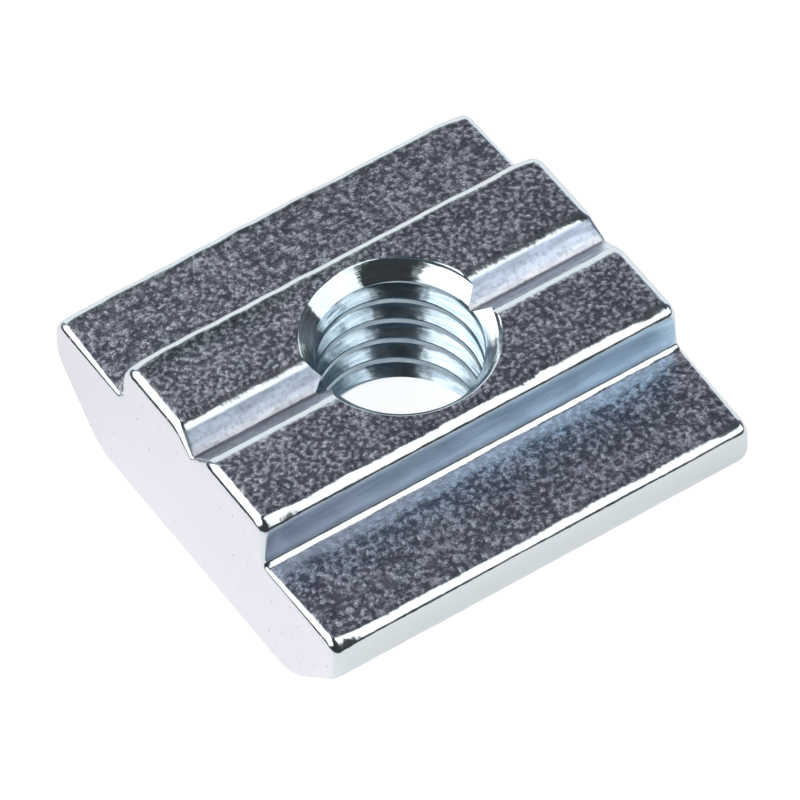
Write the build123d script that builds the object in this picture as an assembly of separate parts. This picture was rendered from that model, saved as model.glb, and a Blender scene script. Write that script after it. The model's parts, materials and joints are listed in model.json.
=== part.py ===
from build123d import *
import math
import os

# T-slot nut: a short length of drawn steel bar that slides along an extrusion's slot and
# takes a screw from above. X runs across the slot, Y along it, and Z up the screw. The
# origin is on the screw's axis, in the plane of the underside.

# Bar section, across the slot
shoulder_width = 20.0  # over the two shoulders that catch under the slot's lips
neck_width = 10.0  # the rib that stands between the lips
shoulder_height = 5.15  # underside to shoulder faces
neck_height = 2.25  # shoulder faces to the neck's top
flank_height = 3.15  # rise of the sloping flanks under the shoulders
flank_angle = 45.0  # flank to underside, in degrees

# Groove along the middle of the neck's top
groove_width = 2.25
groove_depth = 0.75

# Roundings that the drawing die leaves along the bar
underside_round = 2.2
flank_round = 1.5
shoulder_round = 0.55
foot_round = 0.35
neck_round = 0.6
groove_edge_round = 0.5
groove_root_round = 0.2

# Cut length, and the rounding that tumbling leaves on the cut ends
nut_length = 19.75
end_round = 0.45

# Screw thread through the middle, ISO metric, and the countersink at each of its mouths
thread_major = 8.0
thread_pitch = 1.25
countersink_margin = 0.05  # by which a mouth is wider than the screw
countersink_angle = 90.0  # included, in degrees

# Shares of a wall, and of the bar's tightest rounding, that a rounding beside it may take
wall_share = 0.45
edge_share = 0.9

top_height = shoulder_height + neck_height
# An ISO thread's bore is smaller than its screw by 5/4 of the 60-degree triangle's height.
bore_diameter = thread_major - 5 / 4 * thread_pitch * math.sin(math.radians(60))
countersink_diameter = thread_major + countersink_margin
countersink_slope = math.tan(math.radians(countersink_angle / 2))
countersink_depth = (countersink_diameter - bore_diameter) / 2 / countersink_slope


def section_corners():
    """Corners of the section in X and Z with the rounding wanted at each, anticlockwise."""
    flank_run = flank_height / math.tan(math.radians(flank_angle))
    right = [
        (shoulder_width / 2 - flank_run, 0, underside_round),
        (shoulder_width / 2, flank_height, flank_round),
        (shoulder_width / 2, shoulder_height, shoulder_round),
        (neck_width / 2, shoulder_height, foot_round),
        (neck_width / 2, top_height, neck_round),
        (groove_width / 2, top_height, groove_edge_round),
    ]
    groove_root = (0, top_height - groove_depth, groove_root_round)
    left = [(-x, z, wanted) for x, z, wanted in reversed(right)]
    return right + [groove_root] + left


def rounding(before, corner, after, wanted):
    """Radius that fits a corner's two walls, and whether the corner stands out or is a hollow."""
    into = corner - before
    out = after - corner
    room = wall_share * min(into.length, out.length)
    radius = min(wanted, room / math.tan(math.radians(into.get_angle(out) / 2)))
    return radius, into.cross(out).Z > 0


def rounded_section():
    """The section's points, the radius at each, and the tightest radius that stands out."""
    corners = section_corners()
    points = [Vector(x, z) for x, z, wanted in corners]
    befores = points[-1:] + points[:-1]
    afters = points[1:] + points[:1]
    wanted = [corner[2] for corner in corners]
    found = [rounding(*place) for place in zip(befores, points, afters, wanted)]
    radii = [radius for radius, stands_out in found]
    tightest = min(radius for radius, stands_out in found if stands_out)
    return points, radii, tightest


def cut_bar():
    """The bar at its cut length, with its ends' edges rounded inside its own long roundings."""
    points, radii, tightest = rounded_section()
    with BuildPart() as bar:
        with BuildSketch(Plane.XZ):
            with BuildLine():
                FilletPolyline(*points, radius=radii, close=True)
            make_face()
        extrude(amount=nut_length / 2, both=True)
        cut_ends = bar.faces().filter_by(Axis.Y)
        fillet(cut_ends.edges(), min(end_round, edge_share * tightest))
    return bar.part


def screw_hole():
    """What the drill and countersinks take away, run on past both faces by a countersink's depth."""
    bore = bore_diameter / 2
    mouth = countersink_diameter - bore
    with BuildPart() as hole:
        with BuildSketch(Plane.XZ):
            with BuildLine():
                Polyline(
                    (0, -countersink_depth),
                    (mouth, -countersink_depth),
                    (bore, countersink_depth),
                    (bore, top_height - countersink_depth),
                    (mouth, top_height + countersink_depth),
                    (0, top_height + countersink_depth),
                    close=True,
                )
            make_face()
        revolve(axis=Axis.Z)
    return hole.part


nut_body = cut_bar() - screw_hole()
nut_body.label = "nut_body"

os.makedirs("parts", exist_ok=True)
export_step(nut_body, "parts/nut_body.step")
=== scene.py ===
import bmesh
import bpy
import json
import math
from mathutils import Matrix, Vector, noise
from types import SimpleNamespace


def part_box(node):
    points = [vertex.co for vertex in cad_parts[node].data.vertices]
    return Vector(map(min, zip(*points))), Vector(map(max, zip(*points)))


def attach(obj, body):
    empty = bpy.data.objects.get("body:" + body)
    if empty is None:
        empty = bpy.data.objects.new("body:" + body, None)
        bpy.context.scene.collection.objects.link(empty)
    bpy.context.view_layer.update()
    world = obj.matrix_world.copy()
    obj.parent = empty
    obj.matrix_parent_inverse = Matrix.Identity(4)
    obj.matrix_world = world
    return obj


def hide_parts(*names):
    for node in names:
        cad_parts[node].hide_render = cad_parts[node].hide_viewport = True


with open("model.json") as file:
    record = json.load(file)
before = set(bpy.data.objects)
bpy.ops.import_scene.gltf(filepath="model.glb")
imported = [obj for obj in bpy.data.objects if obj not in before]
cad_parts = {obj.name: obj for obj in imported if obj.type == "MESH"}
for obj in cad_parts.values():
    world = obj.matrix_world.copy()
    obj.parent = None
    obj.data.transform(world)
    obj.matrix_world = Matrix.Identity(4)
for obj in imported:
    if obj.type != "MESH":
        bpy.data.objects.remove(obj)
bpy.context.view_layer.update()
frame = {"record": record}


# ---- Drawn bar -------------------------------------------------------------
# The nut is a short length of steel bar, drawn through a die to a T section with sloping
# flanks and a V groove along its neck. It is sawn to length and tumbled, which rounds the
# cut ends, wears the ends of the long edges most and leaves no edge quite even.

mm = 0.001
mounts = {mount["name"]: mount for mount in frame["record"]["mounts"]}
near_end, far_end = (corner.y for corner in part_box("nut_body"))
half_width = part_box("nut_body")[1].x
top_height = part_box("nut_body")[1].z
shoulder_height = mounts["shoulder_right"]["pos_m"][2]
half_neck = mounts["neck_right"]["pos_m"][0]
flank_size = 3.15 * mm
half_groove = 1.07 * mm
groove_depth = 0.77 * mm

# The right half of the section from the underside up. For each corner: its X and Z, its
# rounding along the bar, the cut end's rounding there, and how much wider wear has made the
# long rounding where it meets the end.
half_section = [
    (half_width - flank_size, 0, 2.2 * mm, 0.35 * mm, 0),
    (half_width, flank_size, 1.5 * mm, 0.38 * mm, 0),
    (half_width, shoulder_height, 0.55 * mm, 0.45 * mm, 0.2 * mm),
    (half_neck, shoulder_height, 0.35 * mm, 0.2 * mm, 0),
    (half_neck, top_height, 0.6 * mm, 0.51 * mm, 0.2 * mm),
    (half_groove, top_height, 1.0 * mm, 0.5 * mm, 0),
    (0, top_height - groove_depth, 0.08 * mm, 0.2 * mm, 0),
]
section = half_section + [(-x, *sizes) for x, *sizes in reversed(half_section[:-1])]

# How far along the bar the extra wear reaches, and by what share, and over what length, the
# long roundings stray from their size.
worn_length = 1.5 * mm
unevenness = 0.16
uneven_length = 0.8 * mm
least_round = 0.03 * mm

# How finely the roundings and the bar's length are divided.
round_steps = 8
end_outlines = 6
long_outlines = 26
middle_gap = 1 * mm  # on either side, the outlines stop about this far from the bar's middle
quarter_turn = math.pi / 2


def soften(shape, corner, setback, steps):
    """Rounds one corner of an outline, from a setback before the corner to a setback after."""
    bmesh.ops.bevel(
        shape,
        geom=[corner],
        affect="VERTICES",
        offset=setback,
        segments=steps,
        profile=0.5,
        material=-1,
    )


def rounded(bar, corner, radius):
    """Rounds one corner of the bar's outline to a radius."""
    walls = [edge.other_vert(corner).co - corner.co for edge in corner.link_edges]
    half_turn = (math.pi - walls[0].angle(walls[1])) / 2
    soften(bar, corner, radius * math.tan(half_turn), round_steps)


def outline(bar, end, inward, turn, run):
    """One outline of the bar. Turn goes from 0 on the cut face to a quarter turn on the long
    faces, and run is how far the outline then lies from the end's rounding."""
    earlier = set(bar.edges)
    worn = max(0, 1 - run / worn_length) ** 2
    corners = []
    for place, (x, z, long_round, end_round, wear) in enumerate(section):
        corner = Vector((x, z))
        into = (corner - Vector(section[place - 1][:2])).normalized()
        out = (Vector(section[(place + 1) % len(section)][:2]) - corner).normalized()
        mitre = Vector((-into.y - out.y, into.x + out.x)) / (1 + into.dot(out))
        inset = end_round * (1 - math.sin(turn))
        y = end + inward * (end_round * (1 - math.cos(turn)) + run)
        # Each corner strays by itself, so it reads the noise well away from its neighbours.
        uneven = 1 + unevenness * noise.noise(Vector((y / uneven_length, 5.3 * place, 0.5)))
        hollow = into.cross(out) < 0
        radius = (long_round + wear * worn) * uneven + (inset if hollow else -inset)
        x, z = corner + inset * mitre
        corners.append((bar.verts.new((x, y, z)), max(radius, least_round)))
    for place, (corner, radius) in enumerate(corners):
        bar.edges.new((corners[place - 1][0], corner))
    for corner, radius in corners:
        rounded(bar, corner, radius)
    return [edge for edge in bar.edges if edge not in earlier]


def drawn_bar():
    """The bar at its cut length, before it is drilled."""
    bar = bmesh.new()
    turns = [(quarter_turn * step / end_outlines, 0) for step in range(end_outlines)]
    longest_run = far_end - middle_gap
    runs = [(quarter_turn, longest_run * step / long_outlines) for step in range(long_outlines + 1)]
    near_half = [outline(bar, near_end, 1, turn, run) for turn, run in turns + runs]
    far_half = [outline(bar, far_end, -1, turn, run) for turn, run in turns + runs]
    outlines = near_half + far_half[::-1]
    for this, following in zip(outlines, outlines[1:]):
        bmesh.ops.bridge_loops(bar, edges=this + following)
    for cut_face in (outlines[0], outlines[-1]):
        bmesh.ops.contextual_create(bar, geom=cut_face)
    bmesh.ops.recalc_face_normals(bar, faces=bar.faces[:])
    return bar


def mesh_object(name, shape, materials):
    """Puts a finished bmesh in the scene as an object at the origin."""
    mesh = bpy.data.meshes.new(name)
    shape.to_mesh(mesh)
    shape.free()
    for material in materials:
        mesh.materials.append(material)
    made = bpy.data.objects.new(name, mesh)
    bpy.context.scene.collection.objects.link(made)
    return made


# ---- Screw hole ------------------------------------------------------------
# The hole is drilled through, countersunk at both mouths and tapped with a right-hand
# metric thread. Each tool here is a closed shape that is cut out of the bar.

pitch = 1.25 * mm
crest_radius = mounts["thread"]["dims"]["r_mm"] * mm
root_radius = 4.0 * mm
half_thread_angle = math.radians(30)
crest_setback = 0.05 * mm
root_setback = 0.06 * mm
mouth_radius = root_radius
mouth_round = 0.12 * mm
thread_round_steps = 3
mouth_round_steps = 4
turn_steps = 96
whole_turn = 2 * math.pi

# The tap's shape starts some turns under the nut and is cut off a little past both faces. The
# countersinks stand a hair proud, so that none of their faces lies in one of the bar's.
turns_below = 2
tap_overrun = 0.5 * mm
countersink_lift = 0.004 * mm
weld_distance = 0.0005 * mm
sharp_angle = math.radians(30)


def spun_line(shape, points):
    """Starts a spun shape with a line through points, given as radius and height."""
    corners = [shape.verts.new((radius, 0, height)) for radius, height in points]
    for before, after in zip(corners, corners[1:]):
        shape.edges.new((before, after))
    return corners


def tap():
    """The tap's cutting shape: one tooth's outline wound up past both faces."""
    shape = bmesh.new()
    half_crest = pitch / 8
    flank = (root_radius - crest_radius) * math.tan(half_thread_angle)
    tooth = [
        (crest_radius, 0, 0),
        (crest_radius, half_crest, crest_setback),
        (root_radius, half_crest + flank, root_setback),
        (root_radius, pitch - half_crest - flank, root_setback),
        (crest_radius, pitch - half_crest, crest_setback),
        (crest_radius, pitch, 0),
    ]
    corners = spun_line(shape, [(radius, z - turns_below * pitch) for radius, z, setback in tooth])
    for corner, (radius, z, setback) in zip(corners, tooth):
        if setback:
            soften(shape, corner, setback, thread_round_steps)
    turns = math.ceil(top_height / pitch) + 2 * turns_below
    bmesh.ops.spin(
        shape,
        geom=shape.verts[:] + shape.edges[:],
        cent=(0, 0, 0),
        axis=(0, 0, 1),
        dvec=(0, 0, pitch / turn_steps),
        angle=turns * whole_turn,
        steps=turns * turn_steps,
        use_merge=False,
    )
    bmesh.ops.remove_doubles(shape, verts=shape.verts[:], dist=weld_distance)
    for level, outward in ((-tap_overrun, -1), (top_height + tap_overrun, 1)):
        cut = bmesh.ops.bisect_plane(
            shape,
            geom=shape.verts[:] + shape.edges[:] + shape.faces[:],
            plane_co=(0, 0, level),
            plane_no=(0, 0, outward),
            clear_outer=True,
        )["geom_cut"]
        rim = [part for part in cut if isinstance(part, bmesh.types.BMEdge)]
        bmesh.ops.edgeloop_fill(shape, edges=rim)
    bmesh.ops.recalc_face_normals(shape, faces=shape.faces[:])
    return shape


def countersink(face_height, outward):
    """A 90-degree countersinking tool at one face, flared where it leaves a soft rim."""
    shape = bmesh.new()
    setback = mouth_round * math.tan(math.radians(45) / 2)
    shank = mouth_radius + 2 * setback
    shank_height = 1 * mm
    tool = [
        (0, -mouth_radius),
        (mouth_radius, 0),
        (shank, 0),
        (shank, shank_height),
        (0, shank_height),
    ]
    placed = [(radius, face_height + outward * (z + countersink_lift)) for radius, z in tool]
    corners = spun_line(shape, placed)
    soften(shape, corners[1], setback, mouth_round_steps)
    bmesh.ops.spin(
        shape,
        geom=shape.verts[:] + shape.edges[:],
        cent=(0, 0, 0),
        axis=(0, 0, 1),
        angle=whole_turn,
        steps=turn_steps,
        use_merge=True,
    )
    bmesh.ops.remove_doubles(shape, verts=shape.verts[:], dist=weld_distance)
    bmesh.ops.recalc_face_normals(shape, faces=shape.faces[:])
    return shape


def cut_out(body, tool_shape):
    """Cuts one tool's shape out of the body for good; what it cuts has the hole's finish."""
    for face in tool_shape.faces:
        face.material_index = 1
    tool = mesh_object("tool", tool_shape, body.data.materials)
    cut = body.modifiers.new("cut", "BOOLEAN")
    cut.operation = "DIFFERENCE"
    cut.solver = "EXACT"
    cut.object = tool
    held = bpy.context.evaluated_depsgraph_get()
    finished = bpy.data.meshes.new_from_object(body.evaluated_get(held), depsgraph=held)
    body.modifiers.remove(cut)
    body.data = finished
    bpy.data.objects.remove(tool)


def shade(body):
    """Shades the body as smooth, except at its corners and where the hole leaves the bar."""
    shape = bmesh.new()
    shape.from_mesh(body.data)
    bmesh.ops.dissolve_degenerate(shape, edges=shape.edges[:], dist=weld_distance)
    for face in shape.faces:
        face.smooth = True
    for edge in shape.edges:
        one_finish = len({face.material_index for face in edge.link_faces}) == 1
        edge.smooth = one_finish and edge.calc_face_angle(0) < sharp_angle
    shape.to_mesh(body.data)
    shape.free()
    even = body.modifiers.new("even_normals", "WEIGHTED_NORMAL")
    even.keep_sharp = True


bar_finish = bpy.data.materials.new("zinc_on_drawn_steel")
hole_finish = bpy.data.materials.new("zinc_in_the_hole")
nut = mesh_object("nut", drawn_bar(), [bar_finish, hole_finish])
cut_out(nut, tap())
cut_out(nut, countersink(top_height, 1))
cut_out(nut, countersink(0, -1))
shade(nut)


# ---- Zinc plating ----------------------------------------------------------
# Bright zinc with a bluish passivation. The drawn tops keep the bar's grainy skin under
# it; the neck's walls and the groove are streaked by the die, and the cut ends are pitted.
# All sizes in the finishes are in millimetres, except the bumps' heights.

shoulder_level = shoulder_height / mm
top_level = top_height / mm
groove_root = (top_height - groove_depth) / mm
groove_side = half_groove / mm
neck_side = half_neck / mm
bar_side = half_width / mm
light_and_shade_run = (-9.0, 9.0)  # the stretch over which the painted light and shade change from the near end to the far one


def node(finish, kind, inputs=None, **settings):
    """Adds a node to a finish; an input is a plain value or the socket that feeds it."""
    made = finish.node_tree.nodes.new(kind)
    for setting, value in settings.items():
        setattr(made, setting, value)
    for place, value in (inputs or {}).items():
        if isinstance(value, bpy.types.NodeSocket):
            finish.node_tree.links.new(value, made.inputs[place])
        else:
            made.inputs[place].default_value = value
    return made


def worked(finish, operation, first, second=0.0):
    """One sum on the values of two sockets or numbers."""
    return node(finish, "ShaderNodeMath", {0: first, 1: second}, operation=operation).outputs[0]


def product(finish, *values):
    """Two or more values multiplied together."""
    result = values[0]
    for value in values[1:]:
        result = worked(finish, "MULTIPLY", result, value)
    return result


def plus_share(finish, value, share, amount):
    """A value with a share of an amount added to it."""
    return worked(finish, "ADD", value, worked(finish, "MULTIPLY", share, amount))


def faded(finish, value, start, end, low=0.0, high=1.0):
    """Turns a value's run from start to end into a smooth one from low to high."""
    inputs = {"Value": value, "From Min": start, "From Max": end, "To Min": low, "To Max": high}
    fade = node(finish, "ShaderNodeMapRange", inputs, interpolation_type="SMOOTHSTEP")
    return fade.outputs["Result"]


def speckle(finish, place, size, detail=2.0, stretch=(1, 1, 1), rough=0.5):
    """Noise whose lumps are about size millimetres across, or longer the way they are stretched."""
    scaled = node(finish, "ShaderNodeMapping", {"Vector": place, "Scale": stretch}).outputs["Vector"]
    inputs = {"Vector": scaled, "Scale": 1 / size, "Detail": detail, "Roughness": rough}
    return node(finish, "ShaderNodeTexNoise", inputs).outputs["Fac"]


def mixed(finish, share, first, second, blend="MIX"):
    """A colour between two others, or one that a share of the second has worked on."""
    mix = node(finish, "ShaderNodeMix", data_type="RGBA", blend_type=blend)
    for place, value in ((0, share), (6, first), (7, second)):
        if isinstance(value, bpy.types.NodeSocket):
            finish.node_tree.links.new(value, mix.inputs[place])
        else:
            mix.inputs[place].default_value = value if place == 0 else (*value, 1)
    return mix.outputs[2]


def tinted(finish, colour, tint):
    """A colour multiplied by another."""
    return mixed(finish, 1.0, colour, tint, "MULTIPLY")


def bumped(finish, strength, distance, height, under=None, invert=False):
    """The surface lifted by a height pattern, on top of the bumps that are already under it."""
    inputs = {"Strength": strength, "Distance": distance, "Height": height}
    if under:
        inputs["Normal"] = under
    return node(finish, "ShaderNodeBump", inputs, invert=invert).outputs["Normal"]


def millimetres(finish):
    """The place on the piece, in millimetres, and the way its surface faces."""
    coordinates = node(finish, "ShaderNodeTexCoord")
    inputs = {0: coordinates.outputs["Object"], "Scale": 1 / mm}
    place = node(finish, "ShaderNodeVectorMath", inputs, operation="SCALE").outputs[0]
    return place, coordinates.outputs["Normal"]


def split(finish, vector):
    """The X, Y and Z of a vector."""
    return node(finish, "ShaderNodeSeparateXYZ", {0: vector}).outputs


def bar_patterns(finish, place):
    """The patterns that the bar's finish is made of."""
    return SimpleNamespace(
        grain=speckle(finish, place, 0.21, 4.0, rough=0.58),
        patches=speckle(finish, place, 1.1, 3.0),
        blushes=speckle(finish, place, 0.6, 2.0),
        streaks=speckle(finish, place, 0.25, 4.0, stretch=(1, 0.15, 1)),
        dents=speckle(finish, place, 0.3, 1.0),
        pits=faded(finish, speckle(finish, place, 0.24, 2.0), 0.71, 0.76),
    )


def bar_zones(finish, place, normal, patterns):
    """How much a point lies on each part of the bar, from 0 to 1."""
    across, along, up = split(finish, normal)
    x, y, z = split(finish, place)
    from_middle = worked(finish, "ABSOLUTE", x)
    turned_out = worked(finish, "ABSOLUTE", across)
    turned_along = worked(finish, "ABSOLUTE", along)
    above_shoulders = faded(finish, z, shoulder_level - 0.1, shoulder_level + 0.1)
    groove = product(
        finish,
        faded(finish, from_middle, groove_side + 0.05, groove_side - 0.05),
        faded(finish, z, top_level - 0.12, top_level - 0.2),
        faded(finish, turned_along, 0.5, 0.3),
        above_shoulders,
    )
    # The rounded long edges, which tumbling has dented.
    edge = product(
        finish,
        faded(finish, turned_out, 0.15, 0.3),
        faded(finish, turned_out, 0.97, 0.85),
    )
    # The die has smoothed a narrow strip of the shoulders beside the neck's foot, so the grainy
    # skin starts past that strip. It covers the neck's top and the underside from edge to edge.
    strip_edge = plus_share(finish, from_middle, patterns.patches, 1.0)
    past_strip = faded(finish, strip_edge, neck_side + 1.0, neck_side + 1.5)
    on_neck = faded(finish, from_middle, neck_side + 0.05, neck_side - 0.05)
    on_neck = worked(finish, "MAXIMUM", on_neck, faded(finish, above_shoulders, 1.0, 0.0))
    return SimpleNamespace(
        top=faded(finish, worked(finish, "ABSOLUTE", up), 0.955, 0.998),
        cut_end=faded(finish, turned_along, 0.6, 0.95),
        neck_wall=product(finish, faded(finish, turned_out, 0.84, 0.94), above_shoulders),
        groove=groove,
        edge=edge,
        skinned=worked(finish, "MAXIMUM", past_strip, on_neck),
        back_slope_light_and_shade=faded(finish, across, -0.2, 0.2),
    )


def bar_bumps(finish, patterns, zones):
    """The grain of the tops, the die's streaks, the dents of the edges and the ends' pits."""
    grain = product(finish, patterns.grain, faded(finish, patterns.patches, 0.3, 0.7, 0.85, 1.05))
    not_top = faded(finish, zones.top, 1, 0)
    dented = plus_share(finish, product(finish, zones.groove, 0.3), zones.edge, 0.22)
    bumps = bumped(finish, zones.top, 0.05 * mm, grain)
    bumps = bumped(finish, not_top, 0.008 * mm, patterns.streaks, bumps)
    bumps = bumped(finish, dented, 0.03 * mm, patterns.dents, bumps)
    return bumped(finish, zones.cut_end, 0.02 * mm, patterns.pits, bumps, invert=True)


def top_colour(finish, place, patterns, zones):
    """The dark and bright grains of the drawn skin, with painted shade along the back edges and towards the
    far end, and the smooth strips beside the neck with a painted sheen at the foot.
    """
    x, y, z = split(finish, place)
    from_middle = worked(finish, "ABSOLUTE", x)
    bright_grain = faded(finish, patterns.grain, 0.41, 0.66)
    skin = mixed(finish, bright_grain, (0.21, 0.22, 0.255), (0.94, 0.945, 1.0))
    blush = faded(finish, patterns.blushes, 0.4, 0.6)
    tint = mixed(finish, blush, (0.92, 0.88, 0.92), (0.98, 1.0, 1.0))
    # Painted shade: the skin grows darker towards the far end.
    tint = mixed(finish, faded(finish, y, *light_and_shade_run, 0.0, 0.6), tint, (0.82, 0.81, 0.83))
    skin = tinted(finish, skin, tint)

    # Painted shade: the skin is darker along the back edges of the neck and of the bar, on the neck most
    # towards the near end.
    neck_back_painted_shade = product(
        finish,
        faded(finish, x, 1.4 - neck_side, 0.6 - neck_side),
        faded(finish, y, 6.0, -7.0, 0.3, 1.0),
        faded(finish, z, shoulder_level + 1, shoulder_level + 1.1),
    )
    bar_back_painted_shade = faded(finish, x, 0.8 - bar_side, 0.45 - bar_side)
    painted_shade = worked(finish, "MAXIMUM", neck_back_painted_shade, bar_back_painted_shade)
    skin = mixed(finish, painted_shade, skin, tinted(finish, skin, (0.5, 0.56, 0.52)))

    # The die's smooth strip beside the neck's foot, with a painted sheen that is brightest at the foot.
    off_foot = faded(finish, from_middle, neck_side + 0.3, neck_side + 0.9)
    smooth_strip_painted_sheen = mixed(finish, off_foot, (1.0, 0.95, 1.0), (0.95, 0.93, 0.95))
    return mixed(finish, zones.skinned, smooth_strip_painted_sheen, skin)


def neck_wall_colour(finish, place, patterns):
    """The passivation's blue, streaked by the die, with painted light: lighter towards the far end and a
    painted highlight at the foot.
    """
    x, y, z = split(finish, place)
    # Painted light: the blue grows lighter towards the far end.
    blue_and_painted_light = mixed(finish, faded(finish, y, *light_and_shade_run), (0.42, 0.52, 0.65), (0.50, 0.70, 0.88))
    streaked = faded(finish, patterns.streaks, 0.35, 0.65)
    marks = mixed(finish, streaked, (0.82, 0.87, 0.86), (1.06, 1.04, 1.04))
    # Painted highlight: the wall is brighter at its foot.
    painted_foot_highlight = faded(finish, z, shoulder_level + 1.1, shoulder_level + 0.3)
    marks = mixed(finish, painted_foot_highlight, marks, (1.1, 1.08, 1.06))
    return tinted(finish, blue_and_painted_light, marks)


def groove_colour(finish, place, patterns, zones):
    """Slopes with painted light and shade: the back slope white at the root and darker towards the top, the
    front slope dark at the root and lighter upwards, scuffed along the groove and painted lighter towards
    the far end.
    """
    x, y, z = split(finish, place)
    # Painted light and shade: the two slopes, of one metal, get their colours by which way they face and by
    # height.
    off_root = faded(finish, z, groove_root + 0.02, groove_root + 0.28)
    near_top = faded(finish, z, groove_root + 0.2, top_level - 0.15)
    upper = mixed(finish, near_top, (0.72, 0.80, 0.93), (0.50, 0.58, 0.70))
    back_slope_light_and_shade = mixed(finish, off_root, (0.94, 0.95, 1.0), upper)
    front_slope_light_and_shade = mixed(finish, off_root, (0.50, 0.48, 0.56), (0.80, 0.84, 0.93))
    slopes = mixed(finish, zones.back_slope_light_and_shade, front_slope_light_and_shade, back_slope_light_and_shade)
    # Real scuffs from the streaks and the grain, times a painted light that grows towards the far end.
    scuffs_and_painted_light = product(
        finish,
        faded(finish, y, *light_and_shade_run, 0.9, 1.15),
        faded(finish, patterns.streaks, 0.35, 0.6, 0.75, 1.0),
        faded(finish, patterns.grain, 0.35, 0.5, 0.78, 1.0),
    )
    return node(finish, "ShaderNodeVectorMath", {0: slopes, "Scale": scuffs_and_painted_light}, operation="SCALE").outputs[0]


def bar_plating(finish):
    """The plating on everything but the hole."""
    finish.use_nodes = True
    shader = finish.node_tree.nodes["Principled BSDF"]
    place, normal = millimetres(finish)
    patterns = bar_patterns(finish, place)
    zones = bar_zones(finish, place, normal, patterns)

    flank = mixed(finish, patterns.patches, (0.74, 0.80, 0.82), (0.78, 0.82, 0.85))
    sawn = mixed(finish, patterns.patches, (0.85, 0.85, 0.92), (0.88, 0.86, 0.92))
    colour = mixed(finish, zones.cut_end, flank, sawn)
    colour = mixed(finish, zones.top, colour, top_colour(finish, place, patterns, zones))
    colour = mixed(finish, zones.neck_wall, colour, neck_wall_colour(finish, place, patterns))
    colour = mixed(finish, zones.groove, colour, groove_colour(finish, place, patterns, zones))
    pitted = product(finish, patterns.pits, zones.cut_end)
    colour = mixed(finish, pitted, colour, (0.45, 0.45, 0.50))

    rough = faded(finish, patterns.patches, 0.3, 0.7, 0.10, 0.16)
    rough = plus_share(finish, rough, zones.top, 0.12)
    rough = plus_share(finish, rough, zones.neck_wall, 0.25)
    rough = plus_share(finish, rough, zones.groove, 0.25)

    shader.inputs["Metallic"].default_value = 1
    finish.node_tree.links.new(colour, shader.inputs["Base Color"])
    finish.node_tree.links.new(rough, shader.inputs["Roughness"])
    finish.node_tree.links.new(bar_bumps(finish, patterns, zones), shader.inputs["Normal"])


def hole_plating(finish):
    """The plating on the thread and the countersinks, over the marks of their tools."""
    finish.use_nodes = True
    shader = finish.node_tree.nodes["Principled BSDF"]
    place = millimetres(finish)[0]
    x, y, z = split(finish, place)
    flat = node(finish, "ShaderNodeCombineXYZ", {0: x, 1: y}).outputs[0]
    radius = node(finish, "ShaderNodeVectorMath", {0: flat}, operation="LENGTH").outputs["Value"]

    # Marks that run round the hole: they change fast across it and slowly along a turn.
    turn_x = product(finish, worked(finish, "DIVIDE", x, radius), 0.5)
    turn_y = product(finish, worked(finish, "DIVIDE", y, radius), 0.5)
    round_place = node(finish, "ShaderNodeCombineXYZ", {0: radius, 1: z, 2: turn_x}).outputs[0]
    turning = node(finish, "ShaderNodeTexNoise", {
        "Vector": round_place, "W": turn_y, "Scale": 6, "Detail": 4, "Roughness": 0.6,
    }, noise_dimensions="4D").outputs["Fac"]
    blotches = speckle(finish, place, 1.1, 2.0)
    bumps = bumped(finish, 1, 0.012 * mm, turning)
    bumps = bumped(finish, 1, 0.03 * mm, blotches, bumps)

    # The plating is darker and bluer on the thread than on the cone.
    marks = faded(finish, turning, 0.35, 0.65)
    cone = mixed(finish, marks, (0.60, 0.68, 0.69), (0.86, 0.93, 0.93))
    thread = mixed(finish, marks, (0.38, 0.49, 0.57), (0.58, 0.69, 0.76))
    below_cone = faded(finish, z, top_level - 0.62, top_level - 0.7)
    colour = mixed(finish, below_cone, cone, thread)
    less_on_cone = faded(finish, z, top_level - 0.6, top_level - 0.75, 0.6, 1.0)
    rough = product(finish, faded(finish, blotches, 0.3, 0.7, 0.14, 0.24), less_on_cone)

    shader.inputs["Metallic"].default_value = 1
    finish.node_tree.links.new(colour, shader.inputs["Base Color"])
    finish.node_tree.links.new(rough, shader.inputs["Roughness"])
    finish.node_tree.links.new(bumps, shader.inputs["Normal"])


bar_plating(bar_finish)
hole_plating(hole_finish)
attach(nut, "root")
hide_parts("nut_body")


# ---- Floor and sweep -------------------------------------------------------
# The nut lies on a plain pale floor. A low pale sweep stands behind it, for the metal to
# mirror. Both have a matt paint, and a glow of their own that only the eye and the metal see.

floor_half = 2  # in metres, as are the sweep's sizes
sweep_radius = 1
sweep_top = math.radians(34.5)  # how high the sweep reaches, seen from the nut
sweep_start = math.radians(100)
sweep_turn = math.radians(82)


def pale_paint(name, glow_colour, seen, mirrored):
    """A matt grey whose glow has one strength to the eye and another in the metal."""
    paint = bpy.data.materials.new(name)
    paint.use_nodes = True
    path = node(paint, "ShaderNodeLightPath")
    seen_glow = product(paint, path.outputs["Is Camera Ray"], seen)
    mirrored_glow = product(paint, path.outputs["Is Glossy Ray"], mirrored)
    glow = worked(paint, "MAXIMUM", seen_glow, mirrored_glow)
    shader = paint.node_tree.nodes["Principled BSDF"]
    shader.inputs["Base Color"].default_value = (0.6, 0.6, 0.6, 1)
    shader.inputs["Roughness"].default_value = 1
    shader.inputs["Specular IOR Level"].default_value = 0
    shader.inputs["Emission Color"].default_value = (*glow_colour, 1)
    paint.node_tree.links.new(glow, shader.inputs["Emission Strength"])
    return paint


floor_shape = bmesh.new()
bmesh.ops.create_grid(floor_shape, x_segments=1, y_segments=1, size=floor_half)
floor = mesh_object("floor", floor_shape, [pale_paint("pale_floor", (1, 1, 1), 0.85, 0.5)])

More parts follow.
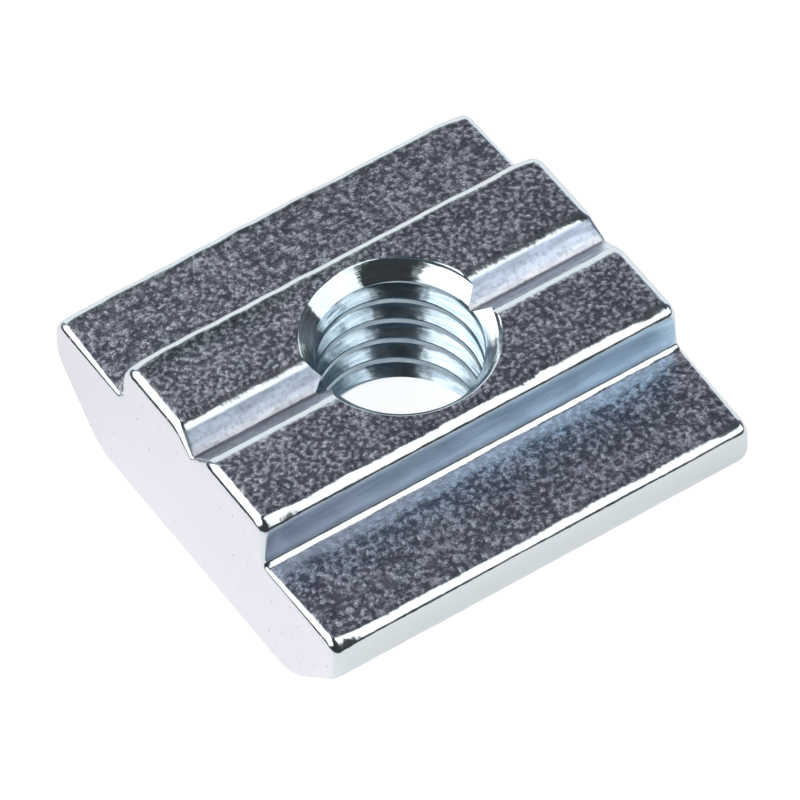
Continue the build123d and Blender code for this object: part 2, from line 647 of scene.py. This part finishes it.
sweep_shape = bmesh.new()
sweep_side = spun_line(sweep_shape, [(sweep_radius, 0), (sweep_radius, sweep_radius * math.tan(sweep_top))])
bmesh.ops.rotate(sweep_shape, verts=sweep_side, matrix=Matrix.Rotation(sweep_start, 3, "Z"))
bmesh.ops.spin(
    sweep_shape,
    geom=sweep_shape.verts[:] + sweep_shape.edges[:],
    cent=(0, 0, 0),
    axis=(0, 0, 1),
    angle=sweep_turn,
    steps=24,
    use_merge=False,
)
sweep = mesh_object("sweep", sweep_shape, [pale_paint("pale_sweep", (0.92, 0.97, 1), 0.85, 0.92)])


# ---- Light -----------------------------------------------------------------
# A dim room that is a little brighter behind the nut, a large softbox on the left, and a
# narrow softbox with a low fill on the right. The eye sees the room as white.

lamp_distance = 0.5

room = bpy.data.worlds.new("studio")
room.use_nodes = True
way = node(room, "ShaderNodeTexCoord").outputs["Generated"]
toward_back = node(room, "ShaderNodeVectorMath", {0: way, 1: (-0.827, 0.562, 0)}, operation="DOT_PRODUCT")
room_light = node(room, "ShaderNodeValToRGB", {"Fac": toward_back.outputs["Value"]})
ramp = room_light.color_ramp
ramp.interpolation = "EASE"
ramp.elements[0].position = 0.1
ramp.elements[0].color = (0.04, 0.045, 0.05, 1)
ramp.elements[1].position = 0.8
ramp.elements[1].color = (0.17, 0.19, 0.24, 1)
room_seen = node(room, "ShaderNodeLightPath").outputs["Is Camera Ray"]
room_colour = mixed(room, room_seen, room_light.outputs["Color"], (1, 1, 1))
room.node_tree.links.new(room_colour, room.node_tree.nodes["Background"].inputs["Color"])
bpy.context.scene.world = room
bpy.context.scene.view_settings.view_transform = "Standard"


def softbox(name, azimuth, elevation, roll, width, height, radiance, colour):
    """A square-on soft light, given by the direction it is seen in from the nut, in degrees."""
    data = bpy.data.lights.new(name, "AREA")
    data.shape = "RECTANGLE"
    data.size = width
    data.size_y = height
    data.energy = radiance * math.pi * width * height
    data.color = colour
    lamp = bpy.data.objects.new(name, data)
    bpy.context.scene.collection.objects.link(lamp)
    azimuth = math.radians(azimuth)
    elevation = math.radians(elevation)
    lamp.location = lamp_distance * Vector((
        math.cos(azimuth) * math.cos(elevation),
        math.sin(azimuth) * math.cos(elevation),
        math.sin(elevation),
    ))
    turned = Matrix.Rotation(azimuth + quarter_turn, 3, "Z")
    tipped = Matrix.Rotation(quarter_turn - elevation, 3, "X")
    rolled = Matrix.Rotation(math.radians(roll), 3, "Z")
    lamp.rotation_euler = (turned @ tipped @ rolled).to_euler()


softbox("left_softbox", -116.5, 47.0, -9.8, 0.796, 0.522, 1.8, (1, 1, 1))
softbox("right_softbox", 30.7, 50, -14, 0.175, 0.66, 1.4, (0.96, 0.98, 1))
softbox("right_fill", 53, 27, -14, 0.315, 0.25, 1.4, (0.9, 0.96, 1))


# ---- Camera ----------------------------------------------------------------
# A long lens from the front right, above the nut.

camera_azimuth = math.radians(55.801)
camera_height = math.radians(51.373)
camera_distance = 373.69 * mm
aim = Vector((-1.367, 0.907, 1.311)) * mm
backward = Vector((
    math.sin(camera_azimuth) * math.cos(camera_height),
    -math.cos(camera_azimuth) * math.cos(camera_height),
    math.sin(camera_height),
))
lens = bpy.data.cameras.new("camera")
lens.sensor_width = 36
lens.lens = 422.89
lens.clip_start = 0.01
lens.clip_end = 10
camera = bpy.data.objects.new("camera", lens)
bpy.context.scene.collection.objects.link(camera)
camera.location = aim + camera_distance * backward
camera.rotation_euler = (quarter_turn - camera_height, 0, camera_azimuth)
bpy.context.scene.camera = camera
